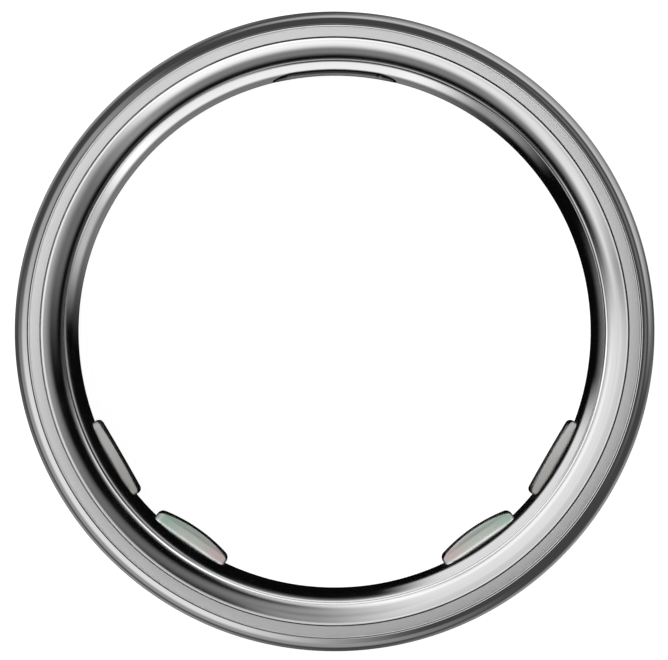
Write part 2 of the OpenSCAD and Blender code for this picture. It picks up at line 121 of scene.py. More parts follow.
UPPER_TURN = 180 - math.degrees((LOWER_LENS_OFFSET + LENS_W + LENS_GAP) / CREST_R)
print("lenses at", round(LOWER_TURN, 2), "and", round(UPPER_TURN, 2), "degrees from the top")

# %% Sizes that the photograph corrects
SHOWN_L = 3.89 * MM
END_SEAL_T = 0.22 * MM
CHARGE_SHOWN_L = 4.04 * MM
END_ROUND_SHARE = 0.4
CREASE_BAND_W = 0.055 * MM
BAND_IN_SLOPE, BAND_OUT_SLOPE = 36, 31
print("lenses", round(SHOWN_L / MM, 2), "mm long here, in the drawing", round(WINDOW_L / MM, 2))

# %% [markdown]
# ## A lathe in Geometry Nodes
# The real sleeve, liner and side rings are turned on a lathe, and a lathe is a rule: one section, swept
# round one axis. A Geometry Nodes tree says exactly that. It lays out a grid, reads the section's points
# by index and turns each column of the grid to its own angle. Screw or Spin would do too, but here the
# number of segments stays a named input, and the seam closes itself when equal points are merged.

# %% Helpers for node trees


def place(tree, kind, inputs=None, **settings):
    made = tree.nodes.new(kind)
    for key, value in settings.items():
        setattr(made, key, value)
    for key, value in (inputs or {}).items():
        socket = made.inputs[key]
        if isinstance(value, bpy.types.NodeSocket):
            tree.links.new(value, socket)
        else:
            socket.default_value = value
    return made


def math_node(tree, operation, *values):
    return place(tree, "ShaderNodeMath", dict(enumerate(values)), operation=operation).outputs[0]


def new_tree(name, kind, inputs, outputs):
    tree = bpy.data.node_groups.new(name, kind)
    for label, socket_type, default in inputs:
        socket = tree.interface.new_socket(label, in_out="INPUT", socket_type=socket_type)
        if default is not None:
            socket.default_value = default
    for label, socket_type in outputs:
        tree.interface.new_socket(label, in_out="OUTPUT", socket_type=socket_type)
    return tree, tree.nodes.new("NodeGroupInput").outputs, tree.nodes.new("NodeGroupOutput").inputs


# %% Build the lathe
lathe, given, made = new_tree(
    "lathe",
    "GeometryNodeTree",
    [
        ("Section", "NodeSocketGeometry", None),
        ("Section points", "NodeSocketInt", 8),
        ("Segments", "NodeSocketInt", 360),
        ("Finish", "NodeSocketMaterial", None),
    ],
    [("Turned piece", "NodeSocketGeometry")],
)
rows = math_node(lathe, "ADD", given["Section points"], 1)
columns = math_node(lathe, "ADD", given["Segments"], 1)
grid = place(lathe, "GeometryNodeMeshGrid", {"Vertices X": columns, "Vertices Y": rows})
index = place(lathe, "GeometryNodeInputIndex").outputs[0]
half_on = math_node(lathe, "ADD", index, 0.5)
column = math_node(lathe, "FLOOR", math_node(lathe, "DIVIDE", half_on, rows))
row = math_node(lathe, "SUBTRACT", index, math_node(lathe, "MULTIPLY", column, rows))
read = place(
    lathe,
    "GeometryNodeSampleIndex",
    {"Geometry": given["Section"], "Index": math_node(lathe, "MODULO", row, given["Section points"])},
    data_type="FLOAT_VECTOR",
    domain="POINT",
)
lathe.links.new(place(lathe, "GeometryNodeInputPosition").outputs[0], read.inputs["Value"])
step = math_node(lathe, "DIVIDE", 2 * math.pi, given["Segments"])
spin = {"Vector": read.outputs["Value"], "Angle": math_node(lathe, "MULTIPLY", column, step)}
turned = place(lathe, "ShaderNodeVectorRotate", spin, rotation_type="Z_AXIS")
move = {"Geometry": grid.outputs["Mesh"], "Position": turned.outputs[0]}
moved = place(lathe, "GeometryNodeSetPosition", move)
merge = {"Geometry": moved.outputs[0], "Distance": MERGE_DISTANCE}
closed = place(lathe, "GeometryNodeMergeByDistance", merge)
solid = place(lathe, "GeometryNodeRealizeInstances", {"Geometry": closed.outputs[0]})
finish = {"Geometry": solid.outputs[0], "Material": given["Finish"]}
finished = place(lathe, "GeometryNodeSetMaterial", finish)
lathe.links.new(finished.outputs[0], made["Turned piece"])
print("lathe tree:", len(lathe.nodes), "nodes")

# %% Turn a section into a piece
SEGMENTS = 360
SHARP_TURNED, SHARP_MILLED = math.radians(12), math.radians(30)


def mesh_object(name, vertices, faces=(), finish=None):
    mesh = bpy.data.meshes.new(name)
    mesh.from_pydata(vertices, [], faces)
    if finish:
        mesh.materials.append(finish)
    made = bpy.data.objects.new(name, mesh)
    bpy.context.scene.collection.objects.link(made)
    return made


def bake(piece):
    graph = bpy.context.evaluated_depsgraph_get()
    result = bpy.data.meshes.new_from_object(piece.evaluated_get(graph), depsgraph=graph)
    piece.modifiers.clear()
    old = piece.data
    piece.data = result
    bpy.data.meshes.remove(old)
    return piece


def tidy(piece, sharp=SHARP_TURNED):
    work = bmesh.new()
    work.from_mesh(piece.data)
    bmesh.ops.remove_doubles(work, verts=work.verts, dist=MERGE_DISTANCE)
    bmesh.ops.recalc_face_normals(work, faces=work.faces)
    if work.calc_volume(signed=True) < 0:
        bmesh.ops.reverse_faces(work, faces=work.faces)
    for face in work.faces:
        face.smooth = True
    for edge in work.edges:
        edge.smooth = len(edge.link_faces) != 2 or edge.calc_face_angle(0) < sharp
    work.to_mesh(piece.data)
    open_edges = sum(len(edge.link_faces) != 2 for edge in work.edges)
    print(piece.name, "faces", len(work.faces), "open edges", open_edges)
    work.free()
    return piece


def turn_piece(name, section, finish):
    piece = mesh_object(name, [(r, 0, z) for r, z in section])
    tool = piece.modifiers.new("lathe", "NODES")
    tool.node_group = lathe
    values = {"Section points": len(section), "Segments": SEGMENTS, "Finish": finish}
    for socket in lathe.interface.items_tree:
        if socket.in_out == "INPUT" and socket.name in values:
            tool[socket.identifier] = values[socket.name]
    bake(piece)
    piece.data.materials.clear()
    piece.data.materials.append(finish)
    piece.data.polygons.foreach_set("material_index", [0] * len(piece.data.polygons))
    return piece


# %% [markdown]
# ## Surface effects that several finishes share
# Each effect is one shader node group, built once. The groups read Object coordinates, where one unit is
# a metre, and bring them to millimetres first, so that their scales are easy to picture.
# - Turned grain: fine rings round the axis, as a lathe and a polishing wheel leave them.
# - Fine grain: an even grain in all directions, as on blasted metal, moulded plastic and rubber.
# - Cloudiness: broad, faint patches, as fingers and cloths leave them.

# %% Build the shared effects


def millimetres(tree):
    where = {0: place(tree, "ShaderNodeTexCoord").outputs["Object"], "Scale": 1 / MM}
    return place(tree, "ShaderNodeVectorMath", where, operation="SCALE").outputs[0]


def axes(tree, vector=None):
    """The X, Y and Z of a vector, or of the place on the ring in millimetres."""
    return place(tree, "ShaderNodeSeparateXYZ", {0: vector or millimetres(tree)}).outputs


def flat_distance(tree, point):
    squares = [math_node(tree, "MULTIPLY", point[axis], point[axis]) for axis in ("X", "Y")]
    return math_node(tree, "SQRT", math_node(tree, "ADD", *squares))


def noise(tree, vector, scale, detail, roughness):
    values = {"Vector": vector, "Scale": scale, "Detail": detail, "Roughness": roughness}
    return place(tree, "ShaderNodeTexNoise", values).outputs[0]


def between(tree, value, low, high, from_low=0.0, from_high=1.0):
    values = {"Value": value, "To Min": low, "To Max": high, "From Min": from_low, "From Max": from_high}
    return place(tree, "ShaderNodeMapRange", values).outputs[0]


NOISE_LOW, NOISE_HIGH = 0.3, 0.7


def spread(tree, value, low, high):
    """Most of a noise lies in the middle of its range: that part, stretched from low to high."""
    return between(tree, value, low, high, NOISE_LOW, NOISE_HIGH)


def average(tree, first, second):
    return math_node(tree, "MULTIPLY", math_node(tree, "ADD", first, second), 0.5)


turned_grain, given, made = new_tree(
    "turned grain",
    "ShaderNodeTree",
    [("Rings per mm", "NodeSocketFloat", 20.0), ("Broken", "NodeSocketFloat", 2.0)],
    [("Grain", "NodeSocketFloat")],
)
point = axes(turned_grain)
radius = flat_distance(turned_grain, point)
distance = math_node(turned_grain, "ADD", radius, point["Z"])
bent = {"X": math_node(turned_grain, "MULTIPLY", distance, given["Rings per mm"])}
for axis, socket in (("X", "Y"), ("Y", "Z")):
    share = math_node(turned_grain, "DIVIDE", point[axis], radius)
    bent[socket] = math_node(turned_grain, "MULTIPLY", share, given["Broken"])
rings = place(turned_grain, "ShaderNodeCombineXYZ", bent).outputs[0]
turned_grain.links.new(noise(turned_grain, rings, 1.0, 3.0, 0.5), made["Grain"])


def noise_group(name, scale, default, result, detail, roughness):
    group, given, made = new_tree(
        name, "ShaderNodeTree", [(scale, "NodeSocketFloat", default)], [(result, "NodeSocketFloat")]
    )
    group.links.new(noise(group, millimetres(group), given[scale], detail, roughness), made[result])
    return group


fine_grain = noise_group("fine grain", "Grains per mm", 20.0, "Grain", 2.0, 0.6)
cloudiness = noise_group("cloudiness", "Patches per mm", 0.4, "Cloud", 4.0, 0.55)
print("shared effects:", turned_grain.name, fine_grain.name, cloudiness.name)

# %% [markdown]
# ## Finishes
# A finish is a Principled shader with plain values on its sockets, and the effects above feed only what
# changes over the surface: the colour, the roughness and the bump.

# %% A finish from named values


def use(tree, group, **inputs):
    named = {key.replace("_", " "): value for key, value in inputs.items()}
    return place(tree, "ShaderNodeGroup", named, node_tree=group).outputs[0]


# The colour sockets of a Mix node
MIX_FIRST, MIX_SECOND, MIX_RESULT = 6, 7, 2


def two_tone(tree, factor, dark, light):
    ends = [c if isinstance(c, bpy.types.NodeSocket) else (*c, 1) for c in (dark, light)]
    values = {0: factor, MIX_FIRST: ends[0], MIX_SECOND: ends[1]}
    return place(tree, "ShaderNodeMix", values, data_type="RGBA").outputs[MIX_RESULT]


def new_finish(name, **plain):
    finish = bpy.data.materials.new(name)
    finish.use_nodes = True
    tree = finish.node_tree
    shader = tree.nodes["Principled BSDF"]
    for key, value in plain.items():
        shader.inputs[key.replace("_", " ")].default_value = value
    return finish, tree, shader


def feed(tree, shader, colour=None, roughness=None, height=None, depth=0.0):
    if colour:
        tree.links.new(colour, shader.inputs["Base Color"])
    if roughness:
        tree.links.new(roughness, shader.inputs["Roughness"])
    if height:
        bump = place(tree, "ShaderNodeBump", {"Height": height, "Distance": depth, "Strength": 1.0})
        tree.links.new(bump.outputs[0], shader.inputs["Normal"])


# %% [markdown]
# ### Polished and satin titanium
# The sleeve and the liner are mirror polished. Polishing leaves faint rings, and handling leaves cloudy
# patches, so the roughness wanders a little between two values. The side rings are satin: a fine grain
# scatters what they reflect, and a narrow land along their outer edge is left bright by the last cut.

# %% Make the two metals
POLISH_DARK, POLISH_LIGHT = (0.60, 0.60, 0.605), (0.68, 0.68, 0.685)
POLISH_ROUGH, POLISH_DEPTH = (0.05, 0.14), 0.00004 * MM
polished, tree, shader = new_finish("polished titanium", Metallic=1.0)
rings = use(tree, turned_grain, Rings_per_mm=28.0, Broken=2.5)
cloud = use(tree, cloudiness, Patches_per_mm=0.5)
mixed = average(tree, rings, cloud)
feed(
    tree,
    shader,
    colour=two_tone(tree, mixed, POLISH_DARK, POLISH_LIGHT),
    roughness=spread(tree, mixed, *POLISH_ROUGH),
    height=rings,
    depth=POLISH_DEPTH,
)

SATIN_DARK, SATIN_LIGHT = (0.60, 0.60, 0.60), (0.77, 0.77, 0.765)
SATIN_ROUGH, SATIN_DEPTH = (0.36, 0.5), 0.0004 * MM
LAND_W, LAND_BLEND, LAND_SMOOTHER = 0.04 * MM, 0.01, 0.24
satin, tree, shader = new_finish("satin titanium", Metallic=1.0)
grain = use(tree, fine_grain, Grains_per_mm=26.0)
rings = use(tree, turned_grain, Rings_per_mm=40.0, Broken=8.0)
mixed = average(tree, grain, rings)
land_start = (RING_OUT_R - LAND_W) / MM
land_range = (land_start - LAND_BLEND, land_start + LAND_BLEND)
land = between(tree, flat_distance(tree, axes(tree)), 0.0, 1.0, *land_range)
smoother = math_node(tree, "MULTIPLY", land, LAND_SMOOTHER)
feed(
    tree,
    shader,
    colour=two_tone(tree, mixed, SATIN_DARK, SATIN_LIGHT),
    roughness=math_node(tree, "SUBTRACT", spread(tree, mixed, *SATIN_ROUGH), smoother),
    height=math_node(tree, "MULTIPLY", mixed, math_node(tree, "SUBTRACT", 1.0, land)),
    depth=SATIN_DEPTH,
)
print("metals:", polished.name, satin.name)

# %% [markdown]
# ### Clear lenses
# The lenses are moulded clear, and they carry a thin tint: greyish over the light receivers, and over
# the lights a green that turns to pink towards the lower end. A coloured gradient across the lens gives
# that. Metallic and Transmission stay plain, so that the glass is glass in any other program as well.
# Where the surface turns away from the eye the glass's colour is painted dark, a painted shade which
# draws the outline of a lens. The domed lenses get a painted shade towards the top and a painted
# highlight, a bright line near the bore, so their colour also follows the height over the bore.

# %% Make the lens glass


def along(tree, x, y):
    """Millimetres along the direction (x, y)."""
    vectors = {0: millimetres(tree), 1: (x, y, 0)}
    return place(tree, "ShaderNodeVectorMath", vectors, operation="DOT_PRODUCT").outputs["Value"]


# Painted shade: the dark colour a lens turns to where its surface faces away from the eye.
PAINTED_RIM_SHADE, RIM_FROM, RIM_TO = (0.008, 0.009, 0.008), 0.25, 0.5
# Painted shade: the darker colour towards the top of a domed lens.
TOP_PAINTED_SHADE, TOP_SHARE, TOP_FROM, TOP_TO = (0.10, 0.14, 0.12), 0.6, 0.28, 0.36
# Painted highlight: the colour and the strength of the bright line near the bore, and where it lies.
GLINT_PAINTED_COLOUR, LINE_SHARE = (0.95, 1.0, 0.96), 0.75
LINE_FROM, LINE_TO, LINE_SOFT = -0.035, 0.02, 0.03
GLASS_ROUGH, GLASS_DEPTH = (0.12, 0.22), 0.002 * MM


def lens_glass(name, turn, colours, painted_top_shade_and_glint=False):
    glass, tree, shader = new_finish(name, IOR=1.45, Roughness=0.15, Transmission_Weight=1.0)
    reach = LENS_W / 2 / MM
    s, c = sin_deg(turn), cos_deg(turn)
    place_across = between(tree, along(tree, c, -s), 0.0, 1.0, -reach, reach)
    ramp = place(tree, "ShaderNodeValToRGB", {0: place_across})
    ramp.color_ramp.interpolation = "EASE"
    while len(ramp.color_ramp.elements) < len(colours):
        ramp.color_ramp.elements.new(0.5)
    for i, colour in enumerate(colours):
        ramp.color_ramp.elements[i].position = i / (len(colours) - 1)
        ramp.color_ramp.elements[i].color = (*colour, 1)
    colour = ramp.outputs[0]
    if painted_top_shade_and_glint:
        # Painted shade towards the top of a domed lens, by its height over the bore.
        height = math_node(tree, "SUBTRACT", CREST_R / MM, along(tree, s, c))
        top = between(tree, height, 0.0, TOP_SHARE, TOP_FROM, TOP_TO)
        colour = two_tone(tree, top, colour, TOP_PAINTED_SHADE)
        # Painted highlight: a bright line near the bore, placed by the height over it.
        painted_glint = math_node(
            tree,
            "MULTIPLY",
            between(tree, height, 0.0, 1.0, LINE_FROM - LINE_SOFT, LINE_FROM),
            between(tree, height, 1.0, 0.0, LINE_TO, LINE_TO + LINE_SOFT),
        )
        colour = two_tone(tree, math_node(tree, "MULTIPLY", painted_glint, LINE_SHARE), colour, GLINT_PAINTED_COLOUR)
    # Painted shade: the colour darkens where the surface turns away from the eye, drawing the lens's
    # outline.
    turned_away = place(tree, "ShaderNodeLayerWeight", {"Blend": 0.5}).outputs["Facing"]
    rim = between(tree, turned_away, 0.0, 1.0, RIM_FROM, RIM_TO)
    cloud = use(tree, cloudiness, Patches_per_mm=1.2)
    feed(
        tree,
        shader,
        colour=two_tone(tree, rim, colour, PAINTED_RIM_SHADE),
        roughness=spread(tree, cloud, *GLASS_ROUGH),
        height=cloud,
        depth=GLASS_DEPTH,
    )
    return glass


GREEN, PALE, PINK = (0.27, 0.38, 0.32), (0.40, 0.42, 0.39), (0.47, 0.37, 0.365)
BROWN, SMOKE = (0.31, 0.30, 0.285), (0.41, 0.41, 0.40)
lens_finishes = {
    "lower_right_lens": lens_glass("tinted glass right", LOWER_TURN, (GREEN, PALE, PINK), True),
    "lower_left_lens": lens_glass("tinted glass left", 360 - LOWER_TURN, (PINK, PALE, GREEN), True),
    "upper_right_lens": lens_glass("smoked glass right", UPPER_TURN, (SMOKE, BROWN)),
    "upper_left_lens": lens_glass("smoked glass left", 360 - UPPER_TURN, (BROWN, SMOKE)),
}
print("lens finishes:", len(lens_finishes))

# %% [markdown]
# ### Everything that is sealed inside
# Most parts inside are small mouldings, chips and films. They differ in colour, gloss and grain, not in
# kind, so one table of named values makes them all.

# %% Make the finishes of the inner parts
# slot: dark colour, light colour, roughness, grains per mm, depth of the grain in mm
INNER = {
    "adhesive": ((0.012, 0.012, 0.013), (0.035, 0.035, 0.036), 0.45, 9, 0.004),
    "seal_black": ((0.006, 0.006, 0.006), (0.018, 0.018, 0.018), 0.38, 14, 0.002),
    "shield_black": ((0.004, 0.004, 0.004), (0.012, 0.012, 0.012), 0.7, 18, 0.002),
    "green_light": ((0.12, 0.55, 0.25), (0.35, 0.85, 0.50), 0.25, 5, 0.002),
    "red_light": ((0.55, 0.06, 0.06), (0.85, 0.22, 0.18), 0.25, 5, 0.002),
    "infrared_light": ((0.16, 0.03, 0.05), (0.30, 0.08, 0.10), 0.25, 5, 0.002),
    "photodiode_glass": ((0.015, 0.02, 0.035), (0.05, 0.06, 0.10), 0.12, 4, 0.0005),
    "sensor_white": ((0.62, 0.62, 0.60), (0.80, 0.80, 0.78), 0.5, 10, 0.003),
    "thermal_pad": ((0.30, 0.45, 0.58), (0.42, 0.58, 0.70), 0.75, 7, 0.008),
    "chip_black": ((0.015, 0.015, 0.016), (0.04, 0.04, 0.042), 0.55, 22, 0.003),
    "inductor_grey": ((0.10, 0.10, 0.11), (0.20, 0.20, 0.21), 0.6, 16, 0.005),
    "capacitor_tan": ((0.30, 0.20, 0.11), (0.45, 0.32, 0.19), 0.4, 12, 0.002),
    "antenna_white": ((0.66, 0.66, 0.63), (0.82, 0.82, 0.80), 0.35, 12, 0.002),
    "ferrite": ((0.035, 0.033, 0.032), (0.08, 0.075, 0.07), 0.65, 10, 0.004),
    "board_green": ((0.01, 0.09, 0.04), (0.03, 0.20, 0.09), 0.3, 6, 0.002),
    "insulating_film": ((0.50, 0.24, 0.02), (0.75, 0.42, 0.06), 0.22, 2, 0.002),
    "resin": ((0.05, 0.055, 0.04), (0.11, 0.12, 0.09), 0.3, 1.5, 0.01),
}
INNER_METALS = {
    "component_metal": ((0.60, 0.60, 0.58), (0.78, 0.78, 0.75), 0.3, 12, 0.002),
    "copper": ((0.62, 0.30, 0.16), (0.85, 0.48, 0.30), 0.28, 9, 0.003),
    "battery_foil": ((0.58, 0.60, 0.63), (0.76, 0.78, 0.80), 0.3, 2.5, 0.012),
}
ROUGH_EITHER_WAY = 0.06
finishes = {"polished_metal": polished, "satin_metal": satin}
for table, metallic in ((INNER, 0.0), (INNER_METALS, 1.0)):
    for slot, (dark, light, rough, grains, depth) in table.items():
        finish, tree, shader = new_finish(slot.replace("_", " "), Metallic=metallic)
        grain = use(tree, fine_grain, Grains_per_mm=float(grains))
        cloud = use(tree, cloudiness, Patches_per_mm=0.9)
        mixed = average(tree, grain, cloud)
        feed(
            tree,
            shader,
            colour=two_tone(tree, spread(tree, mixed, 0.0, 1.0), dark, light),
            roughness=spread(tree, mixed, rough - ROUGH_EITHER_WAY, rough + ROUGH_EITHER_WAY),
            height=grain,
            depth=depth * MM,
        )
        if slot == "seal_black":
            shader.inputs["Specular IOR Level"].default_value = 0.0
        finishes[slot] = finish
print("finishes:", len(finishes))

# %% [markdown]
# ### The circuit strip
# A flexible circuit is an amber film with copper tracks inside. The tracks run along the strip, so they
# are bands in the height above the rear face, and a coarse pattern breaks them up into pads.

# %% Make the circuit film
TRACK_PITCH, TRACK_EDGE, PAD_EDGE = 0.35, (0.2, 0.3), (0.42, 0.46)
AMBER, COPPER = (0.42, 0.20, 0.03), (0.72, 0.42, 0.16)
AMBER_ROUGH, COPPER_ROUGH, TRACK_DEPTH = 0.38, 0.25, 0.008 * MM
film, tree, shader = new_finish("circuit film", Roughness=0.3)
turns = math_node(tree, "MULTIPLY", axes(tree)["Z"], 2 * math.pi / TRACK_PITCH)
wave = math_node(tree, "SINE", turns)
cloud = use(tree, cloudiness, Patches_per_mm=0.6)
bands = between(tree, wave, 0.0, 1.0, *TRACK_EDGE)
tracks = math_node(tree, "MULTIPLY", bands, between(tree, cloud, 0.0, 1.0, *PAD_EDGE))
feed(
    tree,
    shader,
    colour=two_tone(tree, tracks, AMBER, COPPER),
    roughness=between(tree, tracks, AMBER_ROUGH, COPPER_ROUGH),
    height=tracks,
    depth=TRACK_DEPTH,
)
finishes["circuit_film"] = film
finishes["lens_clear"] = lens_finishes["lower_right_lens"]

# %% [markdown]
# ### The charging window
# The window is a smooth grey plate. Seen along the bore, the dark line over the plate is painted shade:
# the colour turns black by the distance from the axis alone.

# %% Make the window plate's finish
# The plate's greys, and the black of the painted shade line.
PLATE_DARK, PLATE_LIGHT, PAINTED_DARK_LINE = (0.20, 0.20, 0.202), (0.36, 0.36, 0.362), (0.006, 0.006, 0.006)
PLATE_ROUGH, PLATE_DEPTH = (0.08, 0.18), 0.0004 * MM
DARK_LINE_FROM, DARK_LINE_TO = CREST_R / MM + 0.05, CREST_R / MM + 0.08
plate_grey, tree, shader = new_finish("window grey", Metallic=0.0)
# Painted shade: black beyond a set distance from the axis, for the dark line along the bore.
painted_dark_mask = between(tree, flat_distance(tree, axes(tree)), 0.0, 1.0, DARK_LINE_FROM, DARK_LINE_TO)
cloud = use(tree, cloudiness, Patches_per_mm=0.9)
feed(
    tree,
    shader,
    colour=two_tone(tree, painted_dark_mask, two_tone(tree, cloud, PLATE_DARK, PLATE_LIGHT), PAINTED_DARK_LINE),
    roughness=spread(tree, cloud, *PLATE_ROUGH),
    height=cloud,
    depth=PLATE_DEPTH,
)
finishes["window_grey"] = plate_grey

# %% Give every node of the exact model its finish
for name, node in nodes.items():
    node.data.materials.clear()
    node.data.materials.append(finishes[slot_of[name]])
print("nodes with a finish:", sum(bool(n.data.materials) for n in nodes.values()))

# %% [markdown]
# ## The turned pieces
# A section is a list of points in radius and height. Arcs are laid out by the slope of the surface, in
# degrees from the side face, because a slope says directly what a polished face will mirror: a face of
# slope s sends the view off at 2 s from the axis.

# %% Sections by slope


def facing(slope):
    return -sin_deg(slope), cos_deg(slope)


def arc(centre, radius, start, end, steps):
    points = []
    for i in range(steps + 1):
        out, up = facing(start + (end - start) * i / steps)
        points.append((centre[0] + radius * out, centre[1] + radius * up))
    return points


def beside(point, slope, distance):
    out, up = facing(slope)
    return point[0] + distance * out, point[1] + distance * up


def mirrored(points):
    return [(r, BAND_W - z) for r, z in reversed(points)]


# %% [markdown]
# ### Liner
# The liner is one turned piece. From the crest of the bore it flares in a long arc, turns round the
# mouth, breaks at a fine crease into the broad bevel, and ends at the seam. The crease is a hair-wide
# band of its own slope, so that it catches a line of light. The back of the liner is the channel that
# holds the electronics. The five windows are then milled out with Boolean cuts.

# %% Lay out the liner's section
FLARE_STEPS, MOUTH_STEPS, BAND_STEPS, BEVEL_STEPS, EDGE_STEPS = 16, 12, 3, 18, 6
MOUTH_DROP = MOUTH_R * (sin_deg(FLARE_SLOPE) - sin_deg(MOUTH_SLOPE))
FLARE_R = (CREASE_RISE - MOUTH_DROP) / (1 - sin_deg(FLARE_SLOPE))
BEVEL_R = BEVEL_W / (sin_deg(BEVEL_IN_SLOPE) - sin_deg(BEVEL_OUT_SLOPE))
BAND_R = CREASE_BAND_W / (sin_deg(BAND_IN_SLOPE) - sin_deg(BAND_OUT_SLOPE))
ROUND_R = (MOUTH_DROP - CREASE_BAND_W) / (sin_deg(FLARE_SLOPE) - sin_deg(MOUTH_SLOPE))
CREST_HALF = (
    MID
    - FLARE_R * cos_deg(FLARE_SLOPE)
    - ROUND_R * (cos_deg(MOUTH_SLOPE) - cos_deg(FLARE_SLOPE))
    - BAND_R * (cos_deg(BAND_OUT_SLOPE) - cos_deg(BAND_IN_SLOPE))
    - BEVEL_R * (cos_deg(BEVEL_OUT_SLOPE) - cos_deg(BEVEL_IN_SLOPE))
)
flare_centre = (CREST_R + FLARE_R, MID + CREST_HALF)
mouth_centre = beside(flare_centre, FLARE_SLOPE, FLARE_R - ROUND_R)
mouth = arc(mouth_centre, ROUND_R, FLARE_SLOPE, MOUTH_SLOPE, MOUTH_STEPS)
band_centre = beside(mouth[-1], BAND_IN_SLOPE, -BAND_R)
band = arc(band_centre, BAND_R, BAND_IN_SLOPE, BAND_OUT_SLOPE, BAND_STEPS)
bevel_centre = beside(band[-1], BEVEL_IN_SLOPE, -BEVEL_R)
bevel = arc(bevel_centre, BEVEL_R, BEVEL_IN_SLOPE, BEVEL_OUT_SLOPE, BEVEL_STEPS)
edge_centre = (LINER_R - SEAM_CHAMFER, BAND_W - SEAM_CHAMFER)
liner_front = (
    arc(flare_centre, FLARE_R, 90, FLARE_SLOPE, FLARE_STEPS)
    + mouth[1:]
    + band[1:]
    + [point for point in bevel[1:] if point[0] < edge_centre[0]]
    + arc(edge_centre, SEAM_CHAMFER, BEVEL_OUT_SLOPE, -90, EDGE_STEPS)
    + [
        (LINER_R, MID + CHANNEL_HALF),
        (SEAT_R, MID + CHANNEL_HALF),
        (SEAT_R, MID + TROUGH_HALF),
        (TROUGH_R, MID + TROUGH_HALF),
    ]
)
liner_section = liner_front + mirrored(liner_front)
print("liner section:", len(liner_section), "points, flare radius", round(FLARE_R / MM, 3), "mm")

# %% [markdown]
# ### Window outlines
# Every window and its hole is a rounded rectangle, across the band by along the axis, pushed outwards
# from the middle of the ring. One helper draws the outline, and one places it at its turn. A crowned
# lens needs points along its straight sides too, or the crown would be cut off from corner to corner.
# In the photograph the lenses end a little nearer the middle of the band than in the drawing, with a
# thicker black line of seal, so lenses, seals and holes are drawn that way here. The pockets behind them
# stay, because the parts in them do.

# %% Outlines and blocks at a turn
CORNER_STEPS = 8
INSIDE_R, OUTSIDE_R = CREST_R - 1 * MM, SEAT_R + 0.2 * MM


def outline(width, length, corner, side_steps=1):
    corners = []
    for quarter, (sx, sz) in enumerate(((1, 1), (-1, 1), (-1, -1), (1, -1))):
        for i in range(CORNER_STEPS + 1):
            angle = 90 * (quarter + i / CORNER_STEPS)
            x = sx * (width / 2 - corner) + corner * cos_deg(angle)
            z = sz * (length / 2 - corner) + corner * sin_deg(angle)
            corners.append((x, z))
    points = []
    for i, (x, z) in enumerate(corners):
        points.append((x, z))
        if i % (CORNER_STEPS + 1) == CORNER_STEPS:
            next_x, next_z = corners[(i + 1) % len(corners)]
            for share in (j / side_steps for j in range(1, side_steps)):
                points.append((x + share * (next_x - x), z + share * (next_z - z)))
    return points


def at_turn(turn, x, y, z):
    c, s = cos_deg(turn), sin_deg(turn)
    return (x * c + y * s, y * c - x * s, MID + z)


def stack(name, levels, turn, finish=None):
    """A closed solid through a list of loops, each a distance outwards and an outline of (x, z) points
    or of (x, z, extra outwards) points."""
    vertices, faces = [], []
    count = len(levels[0][1])
    for out, loop in levels:
        for p in loop:
            vertices.append(at_turn(turn, p[0], out + (p[2] if len(p) > 2 else 0), p[1]))
    for level in range(len(levels) - 1):
        for i in range(count):
            a, b = level * count + i, level * count + (i + 1) % count
            faces.append((a, b, b + count, a + count))
    faces.append(tuple(range(count)))
    faces.append(tuple(range((len(levels) - 1) * count, len(levels) * count)))
    return tidy(mesh_object(name, vertices, faces, finish))


def punch(loop, turn, start=INSIDE_R):
    """A block of one outline, from inside the bore or from a given radius out past the liner."""
    return stack("punch", [(start, loop), (OUTSIDE_R, loop)], turn)


def cut_with(piece, cutter, operation="DIFFERENCE"):
    tool = piece.modifiers.new("cut", "BOOLEAN")
    tool.operation = operation
    tool.solver = "EXACT"
    tool.object = cutter
    bake(piece)
    bpy.data.objects.remove(cutter)
    return piece


# %% Turn the liner and mill its windows
liner = tidy(turn_piece("polished_liner", liner_section, polished))
blank = liner.data.copy()
lens_hole = outline(LENS_W + 2 * SEAL_T, SHOWN_L + 2 * END_SEAL_T, LENS_CORNER + SEAL_T)
charge_hole = outline(CHARGE_W + 2 * SEAL_T, WINDOW_L + 2 * SEAL_T, CHARGE_CORNER + SEAL_T)
LENS_TURNS = {
    "upper_right_lens": UPPER_TURN,
    "lower_right_lens": LOWER_TURN,
    "lower_left_lens": 360 - LOWER_TURN,
    "upper_left_lens": 360 - UPPER_TURN,
}
for turn in LENS_TURNS.values():
    cut_with(liner, punch(lens_hole, turn))
cut_with(liner, punch(charge_hole, 0))
tidy(liner)

# %% Press the seals
lens_outline = outline(LENS_W, SHOWN_L, LENS_CORNER)
charge_outline = outline(CHARGE_W, CHARGE_SHOWN_L, CHARGE_CORNER)


def press_seal(name, turn, hole, window):
    """What the liner would have between its hole and the window."""
    piece = bpy.data.objects.new("black_" + name, blank.copy())
    bpy.context.scene.collection.objects.link(piece)
    cut_with(piece, punch(hole, turn), "INTERSECT")
    cut_with(piece, punch(window, turn))
    piece.data.materials.clear()
    piece.data.materials.append(finishes["seal_black"])
    return tidy(piece, SHARP_MILLED)


seals = {
    name + "_seal": press_seal(name + "_seal", turn, lens_hole, lens_outline)
    for name, turn in LENS_TURNS.items()
}
seals["charging_window_seal"] = press_seal("charging_window_seal", 0, charge_hole, charge_outline)
bpy.data.meshes.remove(blank)

# %% [markdown]
# ### Outer sleeve and side rings
# The sleeve is a thin tube whose edges are rounded over their full wall. The rounding starts at the seam
# with a slope, or the seam would be lost in a bright line. The side rings are washers with small broken
# edges, a hair-thin groove and a bright land that leans inwards by a few degrees. Such details are what
# draws the two seams, so they are real geometry.

